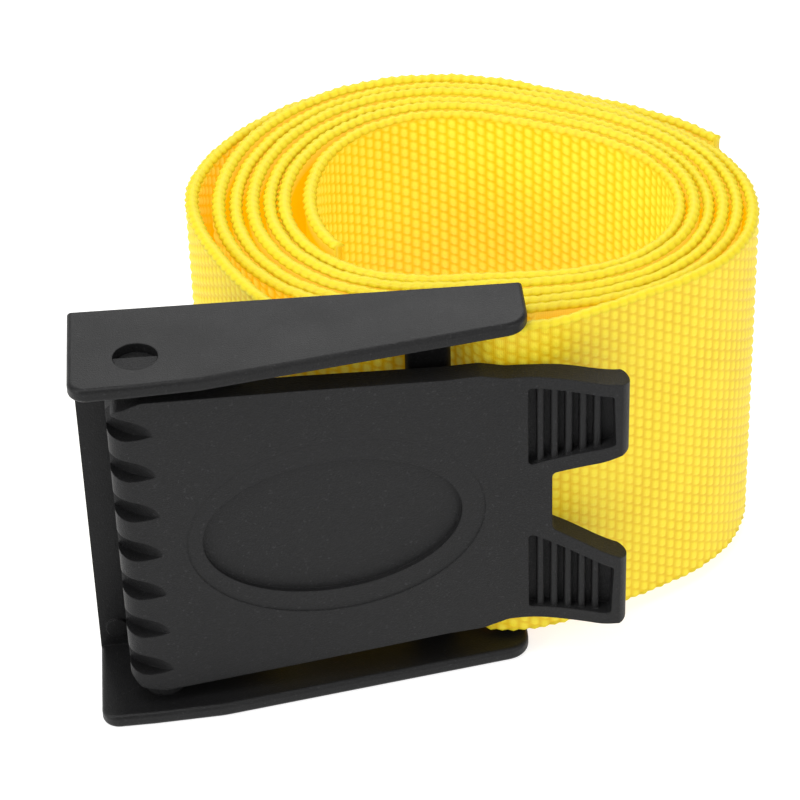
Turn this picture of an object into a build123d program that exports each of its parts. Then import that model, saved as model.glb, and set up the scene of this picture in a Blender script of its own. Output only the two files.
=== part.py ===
from build123d import *
from math import cos, exp, hypot, radians, sin
import os

# A dive weight belt, coiled for storage.  Sketches are drawn in buckle coordinates: x runs along the
# buckle from its hinge end, y runs from the open front (negative) to the back plane (0), z is height.
# ORIGIN_X and ORIGIN_Y carry them to the middle of the whole object's footprint.

ORIGIN_X = -45.36
ORIGIN_Y = -21.2

# frame: two flanges joined by a base plate and two bars
FRAME_L = 57.0
FRAME_W = 54.8
FLANGE_T = 1.95
FLANGE_DEPTH = 16.6
TIP_DEPTH = 8.6
FLANGE_ROUND = 0.6
BASE_L = 22.0
BASE_T = 2.2
MID_BAR_X = 41.8
MID_BAR_L = 5.8
MID_BAR_BACK = 1.9
END_BAR_X = 52.6
BAR_FRONT = 4.3
BAR_ROUND = 1.1
PIVOT_X = 8.4
PIVOT_Y = -10.3
PIVOT_HOLE_R = 2.8
EJECTOR_X = 2.4
EJECTOR_Z = 3.1
EJECTOR_R = 1.5
EJECTOR_H = 0.35

# lever: cam hub, flat handle plate and flared tail
PIN_R = 2.74
PIN_SUNK = 0.25
PIN_STEP = 1.0
HALF = FRAME_W / 2
HUB_HALF = 23.3
PLATE_T = 3.0
FACE_SLOPE = 0.11
NOSE_X = 4.2
TAIL_X = 69.3
CAM_R = 5.8
TOOTH_DEPTH = 0.7
TEETH = 6
RECESS_X = 31.5
RECESS_DEPTH = 0.8
HALO_DEPTH = 0.12
SCOOPS = 7
SCOOP_PITCH = 6.35
SCOOP_TOP = 19.0
SCOOP_DEPTH = 3.8
SCOOP_TIP_X = 9.8
NOSE_ROUND_X = 6.6
NOSE_ROUND_Y = -12.6
POCKET_RIBS = 5
RIB_PITCH = 1.75
RIB_T = 0.9

# strap: one length of 50 mm webbing, through the frame and then coiled
STRAP_W = 50.0
STRAP_T = 1.6
COIL_X = 54.0
COIL_Y = 27.0
TIP_TURN = 18
SLACK_END = 172
TURN_START = 360
INNER_END = 2368
COIL_END = 2400
COIL_STEP = 8
FLAT_RISE = 0.03
DROP_X = 0.012
DROP_Y = 0.036
STRAP_LOW_AT_FRAME = 2.35

os.makedirs("parts", exist_ok=True)


def level(height):
    """Plane at a height, with buckle coordinates as its own x and y."""
    return Plane(origin=(ORIGIN_X, ORIGIN_Y, height))


def upright(depth=0.0, height=HALF):
    """Plane facing the open front, with buckle x as its x and height as its y."""
    return Plane(origin=(ORIGIN_X, ORIGIN_Y + depth, height), x_dir=(1, 0, 0), z_dir=(0, -1, 0))


def front_y(x):
    """y of the lever plate's front face."""
    return -(14.56 - FACE_SLOPE * (x - PIVOT_X))


# ---------------------------------------------------------------- frame
with BuildPart() as buckle_frame:
    for bottom in (0, FRAME_W - FLANGE_T):
        with BuildSketch(level(bottom)) as flange_plan:
            with BuildLine():
                Polyline(
                    (0, 0),
                    (FRAME_L, 0),
                    (FRAME_L, -TIP_DEPTH),
                    (16, -16),
                    (7, -FLANGE_DEPTH),
                    (0, -FLANGE_DEPTH - 0.2),
                    close=True,
                )
            make_face()
            fillet(flange_plan.vertices().filter_by(lambda v: 6 < v.X < 17), 12)
            fillet(flange_plan.vertices().filter_by(lambda v: v.X < 1 and v.Y < -5), 2.3)
            fillet(flange_plan.vertices().filter_by(lambda v: v.X > 56 and v.Y < -5), 3.3)
        extrude(amount=FLANGE_T)
    rims = buckle_frame.edges().filter_by(lambda e: abs(e.tangent_at(0.5).Z) < 0.5)
    fillet(rims.filter_by(lambda e: e.center().Y < ORIGIN_Y - 1), FLANGE_ROUND)

    with BuildSketch(level(FLANGE_T / 2)) as plates:
        with Locations((BASE_L / 2, -BASE_T / 2)):
            Rectangle(BASE_L, BASE_T)
        with Locations((MID_BAR_X + MID_BAR_L / 2, -(BAR_FRONT + MID_BAR_BACK) / 2)):
            RectangleRounded(MID_BAR_L, BAR_FRONT - MID_BAR_BACK, BAR_ROUND)
        with Locations(((END_BAR_X + FRAME_L) / 2, -BAR_FRONT / 2)):
            RectangleRounded(FRAME_L - END_BAR_X, BAR_FRONT, BAR_ROUND)
        fillet(plates.vertices().filter_by(lambda v: v.X > BASE_L - 1 and v.X < BASE_L + 1), 0.8)
    extrude(amount=FRAME_W - FLANGE_T)

    for rim in (FLANGE_T, FRAME_W - FLANGE_T):
        inward = 1 if rim < HALF else -1
        with BuildSketch(upright(-BASE_T, rim + inward * EJECTOR_Z)):
            with Locations((EJECTOR_X, 0)):
                Circle(EJECTOR_R)
        extrude(amount=EJECTOR_H)

    with BuildSketch(level(0)):
        with Locations((PIVOT_X, PIVOT_Y)):
            Circle(PIVOT_HOLE_R)
    extrude(amount=FRAME_W, mode=Mode.SUBTRACT)

buckle_frame.part.label = "buckle_frame"
export_step(buckle_frame.part, "parts/buckle_frame.step")


# ---------------------------------------------------------------- lever
def cam_teeth():
    """Toothed outline of the cam, from the nose's flank round to the strap side."""
    points = []
    for i in range(2 * TEETH + 1):
        turned = i / (2 * TEETH)
        angle = radians(172 - 112 * turned)
        reach = CAM_R - 1.5 * (1 - turned) ** 2 - TOOTH_DEPTH * (i % 2)
        points.append((PIVOT_X + reach * cos(angle), PIVOT_Y + reach * sin(angle)))
    return points


with BuildPart() as lever_side:
    with BuildSketch(level(HALF)):
        with BuildLine():
            teeth = cam_teeth()
            Line((NOSE_ROUND_X, front_y(NOSE_ROUND_X)), (53, front_y(53)))
            Spline(
                (53, front_y(53)),
                (57, -9.5),
                (61, -10.35),
                (65, -11.7),
                (TAIL_X - 1, -12.25),
                tangents=((1, FACE_SLOPE), (1, 0)),
            )
            ThreePointArc((TAIL_X - 1, -12.25), (TAIL_X, -10.6), (TAIL_X - 1, -8.9))
            Spline(
                (TAIL_X - 1, -8.9),
                (65, -8.3),
                (61, -7.1),
                (57, -6.75),
                (52, front_y(52) + PLATE_T - 0.05),
                tangents=((-1, 0), (-1, -FACE_SLOPE)),
            )
            Line((52, front_y(52) + PLATE_T - 0.05), (19, front_y(19) + PLATE_T + 0.3))
            Spline(
                (19, front_y(19) + PLATE_T + 0.3),
                (15.4, -8.9),
                (13.2, -6.9),
                teeth[-1],
                tangents=((-1, 0.1), (-1, 0.5)),
            )
            Polyline(*reversed(teeth))
            Line(teeth[0], (NOSE_X, NOSE_ROUND_Y))
            ThreePointArc(
                (NOSE_X, NOSE_ROUND_Y),
                (4.87, -14.15),
                (NOSE_ROUND_X, front_y(NOSE_ROUND_X)),
            )
        make_face()
    extrude(amount=HUB_HALF, both=True)

with BuildPart() as lever_face:
    with BuildSketch(upright()) as face_outline:
        with BuildLine():
            Polyline(
                (NOSE_X - 0.5, 0),
                (NOSE_X - 0.5, 20.2),
                (5.4, 22.3),
                (8.6, HUB_HALF),
                (28, 22.0),
                (46, 20.6),
                (50.7, 20.5),
                (54, 19.6),
                (TAIL_X + 0.5, 19.4),
                (TAIL_X + 0.5, 0),
            )
            mirror(about=Plane.XZ)
        make_face()
        fillet(face_outline.vertices().filter_by(lambda v: v.X > 60 and abs(v.Y) > 5), 1.6)
        fillet(face_outline.vertices().filter_by(lambda v: v.X < 10 and abs(v.Y) > 5), 1.5)
        fillet(face_outline.vertices().filter_by(lambda v: 50 < v.X < 55), 2.5)
    extrude(amount=20)

with BuildPart() as tail_pockets:
    with BuildSketch(level(HALF)):
        with BuildLine():
            Polyline(
                (56, -8.1),
                (60, -8.3),
                (64, -9.4),
                (68, -10.2),
                (68, -14),
                (56, -14),
                close=True,
            )
        make_face()
    extrude(amount=20, both=True)
    with BuildSketch(upright()) as pocket_outline:
        with BuildLine():
            Polyline((56.7, 17.8), (67.2, 17.6), (67.5, 10), (56.7, 5.5), close=True)
        make_face()
        fillet(pocket_outline.vertices(), 0.5)
        mirror(about=Plane.XZ)
    extrude(amount=20, mode=Mode.INTERSECT)
    for rib in range(POCKET_RIBS):
        with BuildSketch(level(HALF)):
            with Locations((58.3 + rib * RIB_PITCH, -8.45 - rib * 0.42)):
                RectangleRounded(RIB_T, 1.7, 0.3)
        extrude(amount=20, both=True, mode=Mode.SUBTRACT)

with BuildPart() as scoop:
    with BuildSketch(level(HALF + SCOOP_TOP - 2)):
        with BuildLine():
            floor_end = (SCOOP_TIP_X, front_y(SCOOP_TIP_X))
            floor_start = (NOSE_X - 1.2, front_y(NOSE_X) + SCOOP_DEPTH)
            ThreePointArc(floor_end, (7.0, front_y(7.0) + 1.75), floor_start)
            Polyline(floor_start, (NOSE_X - 1.2, -17), (SCOOP_TIP_X, -17), floor_end)
        make_face()
    extrude(amount=6)
    with BuildSketch(upright(height=HALF + SCOOP_TOP)):
        with BuildLine():
            Spline(
                (3.2, 2.9),
                (6.4, 2.1),
                (8.6, 0.9),
                (SCOOP_TIP_X, -0.9),
                tangents=((1, -0.1), (0.2, -1)),
            )
            Spline((SCOOP_TIP_X, -0.9), (7.4, -1.2), (3.2, 0.9), tangents=((-1, -0.25), (-0.6, 1)))
            Line((3.2, 0.9), (3.2, 2.9))
        make_face()
    extrude(amount=20, mode=Mode.INTERSECT)

with BuildPart() as cam_lever:
    add(lever_side.part)
    add(lever_face.part, mode=Mode.INTERSECT)

    face_plane = Plane(
        origin=(ORIGIN_X + RECESS_X, ORIGIN_Y + front_y(RECESS_X), HALF),
        x_dir=(1, FACE_SLOPE, 0),
        z_dir=(FACE_SLOPE, -1, 0),
    )
    with BuildSketch(face_plane):
        with Locations((0.5, 0)):
            Ellipse(19.3, 13.7)
    extrude(amount=-HALO_DEPTH, mode=Mode.SUBTRACT)
    with BuildSketch(face_plane):
        Ellipse(16.75, 10.4)
    extrude(amount=-RECESS_DEPTH, mode=Mode.SUBTRACT)

    for place in range(SCOOPS):
        add(scoop.part.moved(Location((0, 0, -place * SCOOP_PITCH))), mode=Mode.SUBTRACT)

    add(tail_pockets.part, mode=Mode.SUBTRACT)

    with BuildSketch(upright()) as notch:
        with BuildLine():
            Polyline(
                (59.7, 4.5),
                (TAIL_X + 1, 9.2),
                (TAIL_X + 1, -9.2),
                (59.7, -4.5),
                close=True,
            )
        make_face()
        fillet(notch.vertices().filter_by(lambda v: v.X < 60), 1.0)
    extrude(amount=20, mode=Mode.SUBTRACT)

    pin_run = HALF - HUB_HALF + 1
    for end in (PIN_SUNK, FRAME_W - pin_run):
        with BuildSketch(level(end)):
            with Locations((PIVOT_X, PIVOT_Y)):
                Circle(PIN_R)
        extrude(amount=pin_run - PIN_SUNK)
    for end in (PIN_SUNK, FRAME_W - PIN_SUNK - PIN_STEP):
        with BuildSketch(level(end)):
            with Locations((PIVOT_X, PIVOT_Y + PIN_R / 2 + 0.2)):
                Rectangle(2.2 * PIN_R, PIN_R)
        extrude(amount=PIN_STEP, mode=Mode.SUBTRACT)

cam_lever.part.label = "cam_lever"
export_step(cam_lever.part, "parts/cam_lever.step")


# ---------------------------------------------------------------- strap
def coil_radius(turn):
    """Distance of the strap's inner face from the coil's middle, at a winding angle in degrees."""
    a = radians(turn)
    hollow = 20.0 + 0.5 * (cos(a) + sin(a)) + 3.0 * cos(2 * a) - 1.4 * sin(2 * a)
    hollow += 0.7 * cos(3 * a) - 0.9 * sin(3 * a)
    pitch = 1.97 - 0.2 * cos(a) + 0.1 * cos(2 * a) - 0.07 * sin(a)
    return hollow + pitch * (COIL_END - turn) / 360


def coil_point(turn, slack=0.0):
    """Point on the strap's middle surface in plan."""
    reach = coil_radius(turn) + STRAP_T / 2 + slack
    return (COIL_X + reach * cos(radians(turn)), COIL_Y + reach * sin(radians(turn)))


def slack_at(turn):
    """Outermost turn standing off the coil at the hinge side."""
    return 1.5 * exp(-(((turn - 178) / 28) ** 2))


def path_direction(points, i):
    """Direction of a path at one of its points."""
    before = points[max(i - 1, 0)]
    after = points[min(i + 1, len(points) - 1)]
    return (after[0] - before[0], after[1] - before[1])


def offset_path(points, distance):
    """Points of a path moved sideways, square to it."""
    moved = []
    for i, (x, y) in enumerate(points):
        run_x, run_y = path_direction(points, i)
        run = hypot(run_x, run_y)
        moved.append((x - distance * run_y / run, y + distance * run_x / run))
    return moved


def arc_run(points):
    """Arcs through a path's points, each from one point over the next to the one after."""
    for start, over, stop in zip(points[:-2:2], points[1:-1:2], points[2::2]):
        chord = (stop[0] - start[0], stop[1] - start[1])
        rise = (over[0] - start[0]) * chord[1] - (over[1] - start[1]) * chord[0]
        if abs(rise) < FLAT_RISE * hypot(*chord):
            Line(start, stop)
        else:
            ThreePointArc(start, over, stop)
    if len(points) % 2 == 0:
        Line(points[-2], points[-1])


outer_turn = [coil_point(turn, slack_at(turn)) for turn in range(TIP_TURN, SLACK_END, COIL_STEP)]
through_frame = [
    (17.6, 20.0),
    (20.2, 12.8),
    (24.2, 4.9),
    (27.6, 1.0),
    (32.0, -0.8),
    (38.0, -1.0),
    (44.0, -0.9),
    (48.2, -1.5),
    (50.4, -3.4),
    (52.4, -5.0),
    (55.4, -5.4),
    (60.0, -5.2),
    (66.0, -3.2),
    (73.6, 0.9),
    (80.4, 4.7),
    (85.9, 10.0),
    (89.2, 17.2),
]
inner_turns = [coil_point(turn) for turn in range(TURN_START, INNER_END + 1, COIL_STEP)]
strap_path = outer_turn + through_frame + inner_turns

outside = offset_path(strap_path, -STRAP_T / 2)
inside = offset_path(strap_path, STRAP_T / 2)

with BuildPart() as webbing_strap:
    with BuildSketch(level(0)):
        with BuildLine():
            arc_run(outside)
            Line(outside[-1], inside[-1])
            arc_run(inside[::-1])
            Line(inside[0], outside[0])
        make_face()
    extrude(amount=FRAME_W + 1)
    edge_normal = (DROP_X, DROP_Y, 1)
    lower_edge = Plane(origin=(ORIGIN_X + 50, ORIGIN_Y - 3, STRAP_LOW_AT_FRAME), z_dir=edge_normal)
    split(bisect_by=lower_edge, keep=Keep.TOP)
    split(bisect_by=lower_edge.offset(STRAP_W), keep=Keep.BOTTOM)

webbing_strap.part.label = "webbing_strap"
export_step(webbing_strap.part, "parts/webbing_strap.step")
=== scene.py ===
import bpy
import math
from mathutils import Matrix, Vector
import numpy as np


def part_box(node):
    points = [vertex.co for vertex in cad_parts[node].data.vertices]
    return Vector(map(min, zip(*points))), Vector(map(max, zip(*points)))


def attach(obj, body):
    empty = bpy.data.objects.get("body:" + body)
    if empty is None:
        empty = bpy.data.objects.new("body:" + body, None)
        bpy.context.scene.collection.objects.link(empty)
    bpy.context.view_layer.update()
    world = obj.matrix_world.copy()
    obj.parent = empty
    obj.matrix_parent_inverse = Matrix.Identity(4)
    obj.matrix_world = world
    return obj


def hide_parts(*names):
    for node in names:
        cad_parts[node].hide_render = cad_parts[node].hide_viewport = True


MM = 0.001
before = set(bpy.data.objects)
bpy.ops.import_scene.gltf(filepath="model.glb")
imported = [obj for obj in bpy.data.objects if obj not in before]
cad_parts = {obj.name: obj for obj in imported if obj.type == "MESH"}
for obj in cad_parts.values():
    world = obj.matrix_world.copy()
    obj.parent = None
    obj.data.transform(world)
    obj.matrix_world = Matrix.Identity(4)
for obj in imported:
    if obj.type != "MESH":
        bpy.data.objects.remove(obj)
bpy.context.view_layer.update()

# Buckle coordinates, in millimetres: x along the buckle from its hinge end, y from its back plane
# (negative towards the open front), z up from the lower flange.
frame_low, frame_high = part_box("buckle_frame")
BUCKLE = Vector((frame_low[0], frame_high[1], frame_low[2]))
MIDDLE = (frame_high[2] - frame_low[2]) / MM / 2


def place(x, y, z):
    """A point in buckle coordinates, in the frame's own metres."""
    return BUCKLE + Vector((x, y, z)) * MM


# ---------------------------------------------------------------- camera
LENS = 143.95
SENSOR = 36
ROLL = math.radians(-1.91)
EYE = (21.477, -328.498, MIDDLE + 255.313)
AIM = (41.216, 0.0, MIDDLE + 10.346)


def make_camera():
    """Camera in front of the buckle and above it, aimed at its middle and slightly rolled."""
    data = bpy.data.cameras.new("camera")
    data.sensor_width = SENSOR
    data.lens = LENS
    data.clip_start = 0.01
    camera = bpy.data.objects.new("camera", data)
    bpy.context.scene.collection.objects.link(camera)
    eye = place(*EYE)
    forward = (place(*AIM) - eye).normalized()
    level_right = forward.cross(Vector((0, 0, 1))).normalized()
    level_up = level_right.cross(forward)
    right = level_right * math.cos(ROLL) + level_up * math.sin(ROLL)
    up = right.cross(forward)
    turn = Matrix((right, up, -forward)).transposed().to_4x4()
    camera.matrix_world = Matrix.Translation(eye) @ turn
    bpy.context.scene.camera = camera


# ---------------------------------------------------------------- node helpers
class Nodes:
    """Short names for building one material's node tree."""

    def __init__(self, name):
        self.material = bpy.data.materials.new(name)
        self.material.use_nodes = True
        self.tree = self.material.node_tree
        self.shader = self.tree.nodes["Principled BSDF"]

    def add(self, kind, **values):
        """A new node, with its properties set."""
        node = self.tree.nodes.new(kind)
        for key, value in values.items():
            setattr(node, key, value)
        return node

    def put(self, value, socket):
        """Links an output to a socket, or sets the socket to a plain value."""
        if isinstance(value, bpy.types.NodeSocket):
            self.tree.links.new(value, socket)
        else:
            socket.default_value = value

    def feed(self, node, **inputs):
        """Fills a node's inputs by name, with an underscore for each space."""
        for key, value in inputs.items():
            self.put(value, node.inputs[key.replace("_", " ")])
        return node

    def noise(self, vector, scale, detail=3.0, roughness=0.55):
        node = self.add("ShaderNodeTexNoise")
        self.feed(node, Vector=vector, Scale=scale, Detail=detail, Roughness=roughness)
        return node.outputs["Fac"]

    def remap(self, value, low, high, to_low, to_high):
        node = self.add("ShaderNodeMapRange")
        self.feed(node, Value=value, From_Min=low, From_Max=high, To_Min=to_low, To_Max=to_high)
        return node.outputs["Result"]

    def math(self, operation, a, b=0.0):
        node = self.add("ShaderNodeMath", operation=operation)
        for socket, value in zip(node.inputs, (a, b)):
            self.put(value, socket)
        return node.outputs["Value"]

    def mix(self, factor, a, b):
        """Colour a where the factor is 0, colour b where it is 1."""
        node = self.add("ShaderNodeMix", data_type="RGBA")
        colours = [s for s in node.inputs if s.type == "RGBA"]
        self.put(factor, node.inputs[0])
        self.put(a, colours[0])
        self.put(b, colours[1])
        return [s for s in node.outputs if s.type == "RGBA"][0]

    def bump(self, height, distance, strength, normal=None):
        """Normal roughened by a height, on top of another normal if one is given."""
        node = self.add("ShaderNodeBump")
        self.feed(node, Height=height, Distance=distance, Strength=strength)
        if normal is not None:
            self.put(normal, node.inputs["Normal"])
        return node.outputs["Normal"]


# ---------------------------------------------------------------- materials
# Noise scales are in cells per metre, bump heights and the edge radius in metres.
MOTTLE_SCALE = 90.0
GRAIN_SCALE = 5200.0
SPECK_SCALE = 2600.0
SCUFF_SCALE = (170.0, 170.0, 1500.0)
GRAIN_BUMP = 0.00007
EDGE_RADIUS = 0.00025
PLASTIC_SPECULAR = 0.2
BLUE_TINT = 1.04

# Webbing colours. The valley colour is painted shade: the orange of the weave's hollows, of the
# rims' hollows and of the gaps between turns. The two emission colours are painted light. A float is
# fully crest-coloured from CREST_FROM of its height up. THREAD_PITCH is in millimetres.
SHADED_VALLEY = (0.62, 0.41, 0.001, 1.0)
CREST = (0.74, 0.595, 0.009, 1.0)
FADED = (0.77, 0.63, 0.022, 1.0)
VALLEY_PAINTED_GLOW = (1.0, 0.50, 0.0, 1.0)
CREST_PAINTED_GLOW = (1.0, 0.74, 0.12, 1.0)
CREST_FROM = 0.6
FADE_SCALE = 160.0
FUZZ_SCALE = 5200.0
FUZZ_BUMP = 0.00005
THREAD_PITCH = 0.23
THREAD_BUMP = 0.00001
WEBBING_SPECULAR = 0.34


def grey(level):
    """A very slightly blue grey."""
    return (level, level, level * BLUE_TINT, 1.0)


def plastic(name, tone, grain, roughness):
    """Moulded plastic with a fine spark-eroded grain, faint mottling, softened edges and pale scuffs."""
    n = Nodes(name)
    at = n.add("ShaderNodeTexCoord").outputs["Object"]
    mottle = n.noise(at, MOTTLE_SCALE, 4.0)
    fine = n.noise(at, GRAIN_SCALE, 2.0, 0.7)
    stretch = n.feed(n.add("ShaderNodeMapping"), Vector=at, Scale=SCUFF_SCALE)
    scuff = n.remap(n.noise(stretch.outputs["Vector"], 1.0, 5.0, 0.75), 0.66, 0.78, 0.0, 0.6)
    speck = n.remap(n.noise(at, SPECK_SCALE, 1.0, 0.4), 0.67, 0.76, 0.0, 0.9)
    colour = n.mix(n.remap(mottle, 0.3, 0.7, 0.0, 1.0), grey(tone * 0.8), grey(tone * 1.2))
    colour = n.mix(n.remap(fine, 0.4, 0.65, 0.0, 0.6), colour, grey(tone * 2.6))
    colour = n.mix(n.math("MAXIMUM", scuff, speck), colour, grey(tone * 4.0))
    rough = n.remap(mottle, 0.3, 0.7, roughness - 0.05, roughness + 0.06)
    n.feed(n.shader, Base_Color=colour, Roughness=rough, IOR=1.5, Specular_IOR_Level=PLASTIC_SPECULAR)
    edge = n.feed(n.add("ShaderNodeBevel", samples=4), Radius=EDGE_RADIUS).outputs["Normal"]
    n.feed(n.shader, Normal=n.bump(fine, GRAIN_BUMP * grain, 0.9, edge))
    return n.material


def webbing():
    """Yellow webbing: painted shade makes the valleys orange, threads cross its floats, and painted
    light (emission) stands in for light through the yarn and bounced between turns.
    """
    n = Nodes("webbing")
    weave = n.add("ShaderNodeAttribute", attribute_name="weave")
    split = n.feed(n.add("ShaderNodeSeparateXYZ"), Vector=weave.outputs["Vector"])
    at = n.add("ShaderNodeTexCoord").outputs["Object"]
    tone = n.noise(at, FADE_SCALE, 3.0)
    fibre = n.math("SINE", n.math("MULTIPLY", split.outputs["X"], 2 * math.pi / THREAD_PITCH))
    fuzz = n.noise(at, FUZZ_SCALE, 3.0, 0.7)
    # Painted shade: the lower a point's weave value, the nearer its colour to the shaded valley orange.
    # Between turns and on the rims this value is painted shade, not a float height.
    lit_share = n.remap(split.outputs["Z"], 0.0, CREST_FROM, 0.0, 1.0)
    colour = n.mix(lit_share, SHADED_VALLEY, CREST)
    colour = n.mix(n.remap(tone, 0.35, 0.65, 0.0, 0.25), colour, FADED)
    n.feed(n.shader, Base_Color=colour, Roughness=0.46, Specular_IOR_Level=WEBBING_SPECULAR)
    # Painted light: an emission per point, in the crest colour or the valley orange, that brightens the
    # webbing though it is no lamp.
    painted_glow = n.add("ShaderNodeAttribute", attribute_name="painted_glow").outputs["Fac"]
    painted_glow_colour = n.mix(lit_share, VALLEY_PAINTED_GLOW, CREST_PAINTED_GLOW)
    n.feed(n.shader, Emission_Color=painted_glow_colour, Emission_Strength=painted_glow)
    threads = n.bump(fibre, THREAD_BUMP, 0.4)
    n.feed(n.shader, Normal=n.bump(fuzz, FUZZ_BUMP, 0.5, threads))
    return n.material


# ---------------------------------------------------------------- strap: its route in plan
STRAP_W = 50.0
STRAP_T = 1.6
COIL_X = 54.0
COIL_Y = 27.0

# Winding angles about the coil's middle, in degrees, counted on from turn to turn.
TIP_TURN = 18
SLACK_END = 172
TURN_START = 360
INNER_END = 2368
COIL_END = 2400
COIL_STEP = 8

# Where a turn stands off the evenly wound coil, or inside it: winding angle, spread and distance.
SLACK = (
    (178, 28, 1.5),
    (TIP_TURN, 14, 0.7),
    (1985, 40, 0.35),
    (2338, 32, -0.8),
)

THROUGH_FRAME = [
    (17.6, 20.0),
    (20.2, 12.8),
    (24.2, 4.9),
    (27.6, 1.0),
    (32.0, -0.8),
    (38.0, -1.0),
    (44.0, -0.9),
    (48.2, -1.5),
    (50.4, -3.4),
    (52.4, -5.0),
    (55.4, -5.4),
    (60.0, -4.9),
    (66.0, -2.7),
    (73.6, 0.9),
    (80.4, 4.7),
    (85.9, 10.0),
    (89.2, 17.2),
]


def winding_pitch(a):
    """Distance between neighbouring turns of the coil in one direction, in radians, from its middle."""
    return 1.97 - 0.2 * np.cos(a) + 0.1 * np.cos(2 * a) - 0.07 * np.sin(a)


def coil_radius(turn):
    """Distance of the strap's inner face from the coil's middle, at a winding angle in degrees."""
    a = math.radians(turn)
    hollow = 20.0 + 0.5 * (math.cos(a) + math.sin(a)) + 3.0 * math.cos(2 * a) - 1.4 * math.sin(2 * a)
    hollow += 0.7 * math.cos(3 * a) - 0.9 * math.sin(3 * a)
    return hollow + winding_pitch(a) * (COIL_END - turn) / 360


def slack_at(turn):
    """How far a turn stands off the evenly wound coil."""
    return sum(off * math.exp(-(((turn - centre) / spread) ** 2)) for centre, spread, off in SLACK)


def coil_point(turn):
    """Point on the strap's middle surface in plan."""
    reach = coil_radius(turn) + STRAP_T / 2 + slack_at(turn)
    a = math.radians(turn)
    return (COIL_X + reach * math.cos(a), COIL_Y + reach * math.sin(a))


def strap_route():
    """Points of the strap's middle line in plan, from its free tip to its inner end."""
    outer_turn = [coil_point(turn) for turn in range(TIP_TURN, SLACK_END, COIL_STEP)]
    inner_turns = [coil_point(turn) for turn in range(TURN_START, INNER_END + 1, COIL_STEP)]
    return np.array(outer_turn + THROUGH_FRAME + inner_turns)


class Smooth:
    """Natural cubic spline through points, by distance along them."""

    def __init__(self, points):
        self.points = points
        runs = np.linalg.norm(np.diff(points, axis=0), axis=1)
        self.at = np.concatenate(([0.0], np.cumsum(runs)))
        self.length = self.at[-1]
        self.gap = gap = np.diff(self.at)
        count = len(points)
        system = np.eye(count)
        target = np.zeros((count, 2))
        slope = np.diff(points, axis=0) / gap[:, None]
        for i in range(1, count - 1):
            system[i, i - 1 : i + 2] = (gap[i - 1], 2 * (gap[i - 1] + gap[i]), gap[i])
            target[i] = 6 * (slope[i] - slope[i - 1])
        self.bend = np.linalg.solve(system, target)

    def sample(self, distance):
        """Positions and sideways unit vectors at distances along the line."""
        i = np.clip(np.searchsorted(self.at, distance) - 1, 0, len(self.gap) - 1)
        gap = self.gap[i][:, None]
        after = (distance - self.at[i])[:, None]
        before = gap - after
        left, right = self.bend[i], self.bend[i + 1]
        linear_left = self.points[i] / gap - left * gap / 6
        linear_right = self.points[i + 1] / gap - right * gap / 6
        curved = (left * before**3 + right * after**3) / (6 * gap)
        position = curved + linear_left * before + linear_right * after
        tangent = (right * after**2 - left * before**2) / (2 * gap) - linear_left + linear_right
        tangent /= np.linalg.norm(tangent, axis=1)[:, None]
        return position, np.stack((tangent[:, 1], -tangent[:, 0]), axis=1)

    def at_turn(self, turn):
        """Distance along the strap of a winding angle on one of its inner turns."""
        first = len(self.points) - 1 - (INNER_END - TURN_START) // COIL_STEP
        return self.at[first + (turn - TURN_START) // COIL_STEP]


# ---------------------------------------------------------------- strap: its lower edge
# The outermost turn's slant, as in the CAD, and the level that the inner turns settle to.
DROP_X = 0.012
DROP_Y = 0.036
STRAP_LOW_AT_FRAME = 2.35
SETTLED_LOW = 0.42
SETTLED_RISE = 0.028
SETTLED_WAVE = 0.2
SETTLING_RUN = 30.0


def low_edges(middle, along, outer_end):
    """Height of the strap's lower edge: slanted on the outermost turn, nearly level further in."""
    slanted = STRAP_LOW_AT_FRAME - DROP_X * (middle[:, 0] - 50) - DROP_Y * (middle[:, 1] + 3)
    wave = SETTLED_WAVE * np.sin(along * 0.021 + 1.0)
    settled = SETTLED_LOW + SETTLED_RISE * (middle[:, 1] - 5) + wave
    inside = np.clip((along - outer_end) / SETTLING_RUN, 0, 1)
    inside = inside * inside * (3 - 2 * inside)
    return slanted * (1 - inside) + settled * inside


# ---------------------------------------------------------------- strap: its weave
# Floats stand in columns across the strap, on a face that is FACE from the strap's middle surface.
FLOAT_PITCH = 2.76
ROWS = 30
FLOAT_HEIGHT = 0.34
FLAT_LIFT = 0.1
# FLAT_PAINTED_SHADE is painted shade: the colour value of the coarse faces that lie between turns.
FLAT_PAINTED_SHADE = 0.6
FACE = 0.58

# The rolled edges start RIM from the strap's border and bulge to RIM_REACH, or to less where the
# neighbouring turn or a bar of the buckle is close.
RIM = 0.85
RIM_ANGLES = (18, 54, 90, 126, 162)
RIM_REACH = 0.96
RIM_REACH_IN_FRAME = 0.74
RIM_GAP = 0.07
RIM_SWELL = 0.26
IN_FRAME_X = (24, 50)
IN_FRAME_Y = 3
IN_FRAME_FADE = 0.8

# A face has STEPS points to each row and to each float's pitch. Only the strap's open faces are woven
# all over. Between turns that lie close, a face is coarse, and where a gap is open to view its top
# TOP_POINTS points are woven.
STEPS = 4
TOP_POINTS = 24
OUTER_OVERLAP = 10
HOLLOW_TURN = 352
OPEN_GAP_TURNS = (480, 640)
OPEN_GAP_X = 60
OPEN_GAP_Y = 45

# Strength of the painted light: an emission that stands in for light through the yarn, light in the
# coil's hollow and light bounced between turns.
OUTER_PAINTED_GLOW = 0.14
HOLLOW_PAINTED_GLOW = 0.36
RIM_PAINTED_GLOW = 0.0
GAP_TOP_PAINTED_GLOW = 0.34
GAP_PAINTED_GLOW = 0.46

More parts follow.
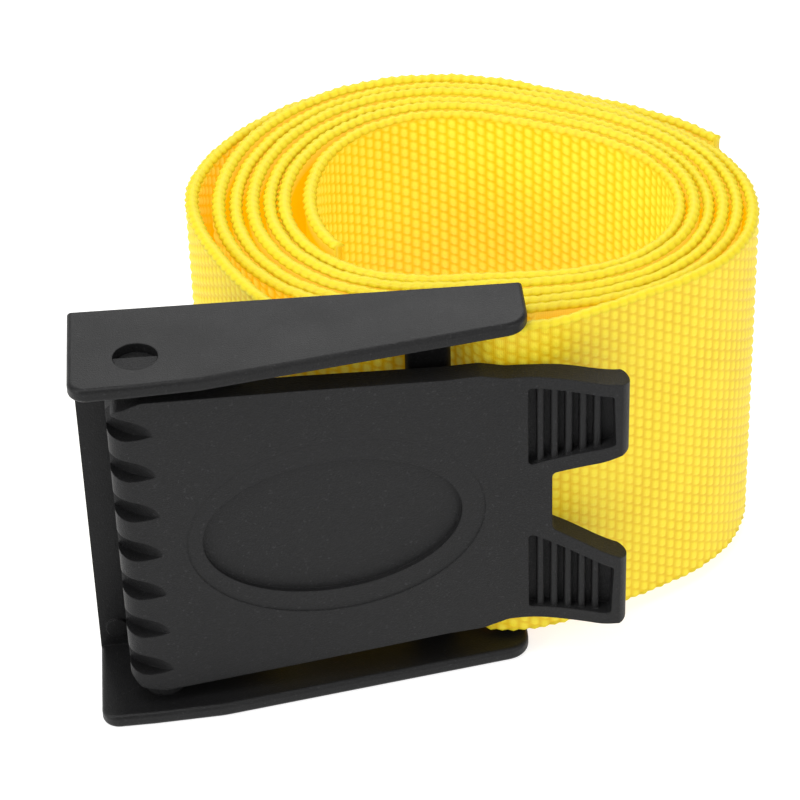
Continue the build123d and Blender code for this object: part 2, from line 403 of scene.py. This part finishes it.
ACROSS = np.linspace(RIM, STRAP_W - RIM, STEPS * ROWS + 1)
TOP = len(ACROSS) - 1
ALL_POINTS = list(range(TOP + 1))
COARSE_POINTS = [0, STEPS, TOP - STEPS, TOP]
GAP_POINTS = [0, STEPS] + ALL_POINTS[-TOP_POINTS - 1 :]


def float_height(along, across):
    """Height of the woven floats, 0 to 1: columns across the strap, each half a row off the last."""
    u = math.cos(2 * math.pi * along / FLOAT_PITCH)
    v = math.pi * ROWS * (across - RIM) / (STRAP_W - 2 * RIM)
    row = np.abs(np.cos(v)) if u > 0 else np.abs(np.sin(v))
    return abs(u) ** 0.8 * (0.14 + 0.86 * row**0.7)


class Webbing:
    """Points and faces of the strap: a ring of points round it at every step along its route."""

    def __init__(self, route):
        step = FLOAT_PITCH / STEPS
        self.along = np.arange(int(route.length / step) + 1) * step
        self.middle, self.outward = route.sample(self.along)
        x, y = self.middle[:, 0], self.middle[:, 1]
        outer_end = route.at_turn(TURN_START + TIP_TURN + OUTER_OVERLAP)
        self.low = low_edges(self.middle, self.along, outer_end)
        self.open_outside = self.along < outer_end
        self.open_inside = self.along > route.at_turn(INNER_END - HOLLOW_TURN)
        gap_start, gap_end = (route.at_turn(turn) for turn in OPEN_GAP_TURNS)
        self.gap_outside = (self.along > gap_start) & (self.along < gap_end)
        self.gap_inside = self.open_outside & (x < OPEN_GAP_X) & (y < OPEN_GAP_Y)
        self.in_frame = (x > IN_FRAME_X[0]) & (x < IN_FRAME_X[1]) & (y < IN_FRAME_Y)
        around = np.arctan2(y - COIL_Y, x - COIL_X)
        self.rim_room = np.minimum(winding_pitch(around) / 2 - RIM_GAP, RIM_REACH)
        self.rim_room[self.in_frame] = RIM_REACH_IN_FRAME
        self.positions = []
        self.weave = []
        self.painted_glow = []
        self.faces = []
        rings = [self.ring(i) for i in range(len(self.along))]
        self.join(rings)
        self.cap(rings[0], False)
        self.cap(rings[-1], True)

    def put(self, i, side, across, height, lit):
        """Adds a point at a distance from the middle surface and returns its number."""
        spot = self.middle[i] + self.outward[i] * side
        self.positions.append((spot[0], spot[1], self.low[i] + across))
        self.weave.append((self.along[i], across, height))
        self.painted_glow.append(lit)
        return len(self.positions) - 1

    def heights(self, i, side):
        """Float heights up one face. The floats of the inner face lie between those of the outer."""
        shift = 0 if side > 0 else FLOAT_PITCH / 2
        return float_height(self.along[i] + shift, ACROSS)

    def woven(self, i, side, lit, fade):
        """Points up one open face, with its floats."""
        heights = self.heights(i, side)
        face = []
        for k in ALL_POINTS:
            lift = FLOAT_HEIGHT * heights[k] * fade
            face.append((k, self.put(i, side * (FACE + lift), ACROSS[k], heights[k], lit)))
        return face

    def between(self, i, side, in_gap, fade):
        """Points up one face between turns, with painted shade that turns them more orange, and painted
        light that grows stronger, further down.
        """
        heights = self.heights(i, side)
        face = []
        for k in GAP_POINTS if in_gap else COARSE_POINTS:
            lift = FLOAT_HEIGHT * heights[k] * fade if in_gap else FLAT_LIFT
            # Painted shade and painted light: deeper in the gap the colour goes to the valley orange and
            # the emission grows.
            depth = min(1.0, (TOP - k) / (TOP_POINTS if in_gap else STEPS))
            shade = (heights[k] if in_gap else FLAT_PAINTED_SHADE) * (1 - depth)
            lit = GAP_TOP_PAINTED_GLOW + (GAP_PAINTED_GLOW - GAP_TOP_PAINTED_GLOW) * depth
            face.append((k, self.put(i, side * (FACE + lift), ACROSS[k], shade, lit)))
        return face

    def rim(self, i, up):
        """Points over one rolled edge, from the outer face to the inner."""
        swell = math.cos(2 * math.pi * self.along[i] / FLOAT_PITCH)
        wobble = math.sin(self.along[i] * 0.61) * math.sin(self.along[i] * 1.37 + 1.0)
        outer_crest = abs(swell)
        inner_crest = math.sqrt(1 - min(1.0, swell * swell))
        points = []
        for angle in RIM_ANGLES:
            a = math.radians(angle)
            share = 0.5 + 0.5 * math.cos(a)
            crest = outer_crest * share + inner_crest * (1 - share)
            reach = self.rim_room[i] + RIM_SWELL * (crest - 0.55) + 0.03 * wobble
            rise = RIM * math.sin(a) * (1 + RIM_SWELL * (outer_crest - 0.5)) + 0.09 * wobble
            across = STRAP_W - RIM + rise if up else RIM - rise * 0.9
            # Painted shade: where a rim's crest is low, its colour goes to the valley orange.
            points.append(self.put(i, reach * math.cos(a), across, 0.1 + 0.9 * crest, RIM_PAINTED_GLOW))
        return points

    def ring(self, i):
        """Outer face, inner face, upper edge and lower edge at one step along the strap."""
        fade = min(1.0, (i + 1) / STEPS, (len(self.along) - i) / STEPS)
        fade *= IN_FRAME_FADE if self.in_frame[i] else 1.0
        if self.open_outside[i]:
            outer = self.woven(i, 1, OUTER_PAINTED_GLOW, fade)
        else:
            outer = self.between(i, 1, self.gap_outside[i], fade)
        if self.open_inside[i]:
            inner = self.woven(i, -1, HOLLOW_PAINTED_GLOW, fade)
        else:
            inner = self.between(i, -1, self.gap_inside[i], fade)
        return outer, inner, self.rim(i, True), self.rim(i, False)

    def strip(self, a, b, flip):
        """Faces between two neighbouring steps of one face, whose rows may differ."""
        at_a, at_b = dict(a), dict(b)
        shared = [k for k in at_a if k in at_b]
        for lower, upper in zip(shared, shared[1:]):
            left = [at_a[k] for k in at_a if lower <= k <= upper]
            right = [at_b[k] for k in at_b if lower <= k <= upper]
            loop = left + right[::-1]
            self.faces.append(loop[::-1] if flip else loop)

    def join(self, rings):
        """Faces between each ring and the next."""
        for first, second in zip(rings, rings[1:]):
            self.strip(first[0], second[0], True)
            self.strip(first[1], second[1], False)
            for end, edge in ((-1, 2), (0, 3)):
                over_a = [first[0][end][1]] + first[edge] + [first[1][end][1]]
                over_b = [second[0][end][1]] + second[edge] + [second[1][end][1]]
                for a, b, c, d in zip(over_a, over_b, over_b[1:], over_a[1:]):
                    self.faces.append((a, b, c, d) if end else (b, a, d, c))

    def cap(self, ring, flip):
        """One face that closes an end of the strap."""
        outline = [v for _, v in ring[0]] + ring[2]
        outline += [v for _, v in ring[1][::-1]] + ring[3][::-1]
        self.faces.append(outline[::-1] if flip else outline)

    def mesh(self):
        """The finished mesh, in metres, with its weave and its painted light (emission strength) as
        attributes.
        """
        mesh = bpy.data.meshes.new("webbing")
        points = np.array(self.positions) * MM + np.array(BUCKLE)
        mesh.from_pydata(points.tolist(), [], self.faces)
        mesh.validate()
        weave = mesh.attributes.new("weave", "FLOAT_VECTOR", "POINT")
        weave.data.foreach_set("vector", np.array(self.weave, dtype=np.float32).ravel())
        painted_glow = mesh.attributes.new("painted_glow", "FLOAT", "POINT")
        painted_glow.data.foreach_set("value", np.array(self.painted_glow, dtype=np.float32))
        mesh.shade_smooth()
        return mesh


def make_strap():
    """One length of webbing, through the buckle and then coiled, in place of the plain CAD strap."""
    route = Smooth(strap_route())
    mesh = Webbing(route).mesh()
    mesh.materials.append(webbing())
    strap = bpy.data.objects.new("webbing_belt", mesh)
    bpy.context.scene.collection.objects.link(strap)
    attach(strap, "belt")
    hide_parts("webbing_strap")


# ---------------------------------------------------------------- buckle
def finish_cad(name, material):
    """Gives a carried-over CAD node its own plastic."""
    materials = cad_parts[name].data.materials
    materials.clear()
    materials.append(material)


# ---------------------------------------------------------------- studio
FLOOR_HALF = 3.0
FLOOR_DROP = 0.00005
FLOOR_GREY = 0.42
FLOOR_GLOW = 0.74
SKY = 0.68
LIT_POINT = (0, 0, 0.03)

# Name, position in metres, diameter in metres and power in watts.
LIGHTS = (
    ("back_top", (0.1, 1.1, 0.95), 0.9, 5.5),
    ("front_left", (-1.0, -0.5, 0.5), 0.6, 6.0),
    ("top", (-0.2, -0.2, 0.95), 0.5, 4.0),
    ("front_right", (0.9, -0.9, 0.6), 0.5, 5.0),
)


def make_floor():
    """A plain floor that gives off enough light to look white under soft lights."""
    half = FLOOR_HALF
    corners = [(-half, -half, 0), (half, -half, 0), (half, half, 0), (-half, half, 0)]
    mesh = bpy.data.meshes.new("floor")
    mesh.from_pydata(corners, [], [(0, 1, 2, 3)])
    floor = bpy.data.objects.new("floor", mesh)
    floor.location = (0, 0, -FLOOR_DROP)
    bpy.context.scene.collection.objects.link(floor)
    n = Nodes("floor")
    n.feed(n.shader, Base_Color=(FLOOR_GREY, FLOOR_GREY, FLOOR_GREY, 1.0), Roughness=0.8)
    n.feed(n.shader, Emission_Color=(1.0, 1.0, 1.0, 1.0), Emission_Strength=FLOOR_GLOW)
    mesh.materials.append(n.material)


def area_light(name, position, size, power):
    """A round soft light, aimed at the object."""
    data = bpy.data.lights.new(name, "AREA")
    data.shape = "DISK"
    data.size = size
    data.energy = power
    light = bpy.data.objects.new(name, data)
    bpy.context.scene.collection.objects.link(light)
    light.location = position
    aim = Vector(LIT_POINT) - Vector(position)
    light.rotation_euler = aim.to_track_quat("-Z", "Y").to_euler()


def make_studio():
    """Floor, white sky and soft lights."""
    make_floor()
    world = bpy.data.worlds.new("studio")
    bpy.context.scene.world = world
    world.use_nodes = True
    sky = world.node_tree.nodes["Background"]
    sky.inputs["Color"].default_value = (1, 1, 1, 1)
    sky.inputs["Strength"].default_value = SKY
    for light in LIGHTS:
        area_light(*light)
    bpy.context.scene.view_settings.view_transform = "Standard"


make_camera()
make_strap()
finish_cad("buckle_frame", plastic("frame_plastic", 0.0045, 0.8, 0.40))
finish_cad("cam_lever", plastic("lever_plastic", 0.0062, 1.8, 0.47))
make_studio()
